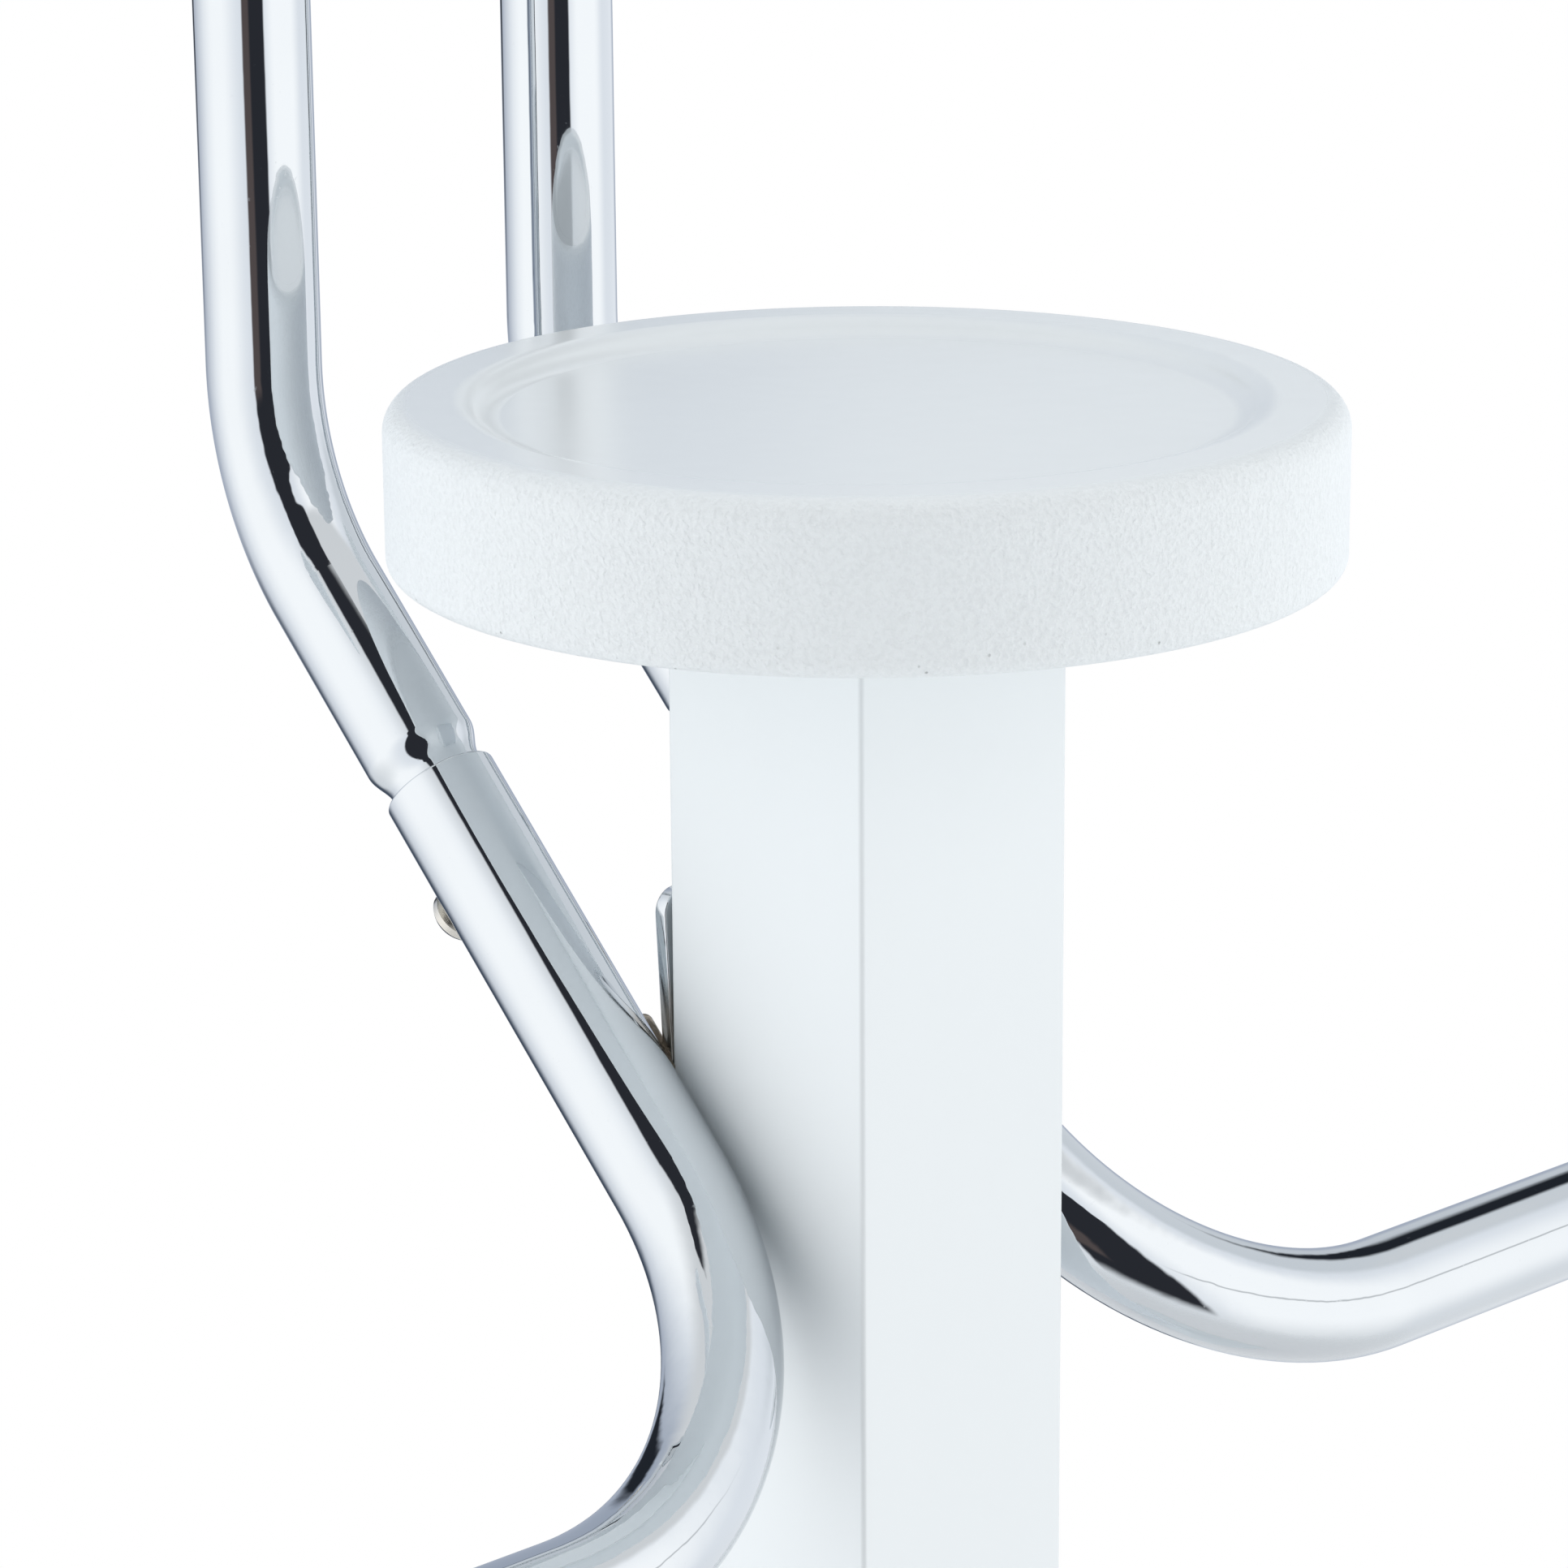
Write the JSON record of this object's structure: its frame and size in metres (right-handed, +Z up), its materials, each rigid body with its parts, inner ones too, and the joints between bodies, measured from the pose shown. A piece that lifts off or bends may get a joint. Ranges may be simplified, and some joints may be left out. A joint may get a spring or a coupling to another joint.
{
  "type": "valet stand",
  "caption": "Valet stand: white square post on a board with a shallow round dish on top, bent chrome tubes forming side arms and a raised jacket hanger.",
  "frame": {"origin": "on the floor, under the middle of the board", "axes": "+X along the right arm, -Y the front (the post and arms side), +Z up"},
  "size_m": [0.4244, 0.32, 1.1],
  "materials": {
    "white_paint_board": "MDF, sprayed satin white, fine orange peel on the edges",
    "white_lacquer_post": "smooth satin white lacquer",
    "white_paint_dish": "MDF, sprayed satin white, orange peel on the side, smoother on top",
    "white_paint_hanger": "MDF, sprayed satin white, fine orange peel",
    "grey_glide": "moulded polyethylene",
    "zinc_steel": "zinc plated",
    "beech": "fluted beech dowel",
    "chrome_tube": "bright chrome plate, mirror finish",
    "chrome_plate": "bright chrome plate over blanked steel",
    "nickel_screw": "nickel plated screw",
    "weld": "weld with a heat tint under the plating",
    "white_plastic": "moulded white plastic"
  },
  "bodies": {
    "root": {"arm_caps": "white_plastic", "base_board": "white_paint_board", "base_bolts": "zinc_steel", "base_inserts": "zinc_steel", "base_washers": "zinc_steel", "cross_plate": "chrome_plate", "dish": "white_paint_dish", "dish_dowels": "beech", "dish_insert": "zinc_steel", "dish_stud": "zinc_steel", "floor_glides": "grey_glide", "glide_nails": "zinc_steel", "hanger": "white_paint_hanger", "hanger_bolts": "nickel_screw", "hanger_inserts": "zinc_steel", "hanger_saddles": "white_plastic", "hanger_washers": "nickel_screw", "joint_nuts": "zinc_steel", "joint_screws": "nickel_screw", "joint_washers": "nickel_screw", "left_lower_tube": "chrome_tube", "plate_screws": "nickel_screw", "post": "white_lacquer_post", "post_insert": "zinc_steel", "right_lower_tube": "chrome_tube", "upper_tube": "chrome_tube", "weld_beads": "weld"}
  },
  "joints": []
}
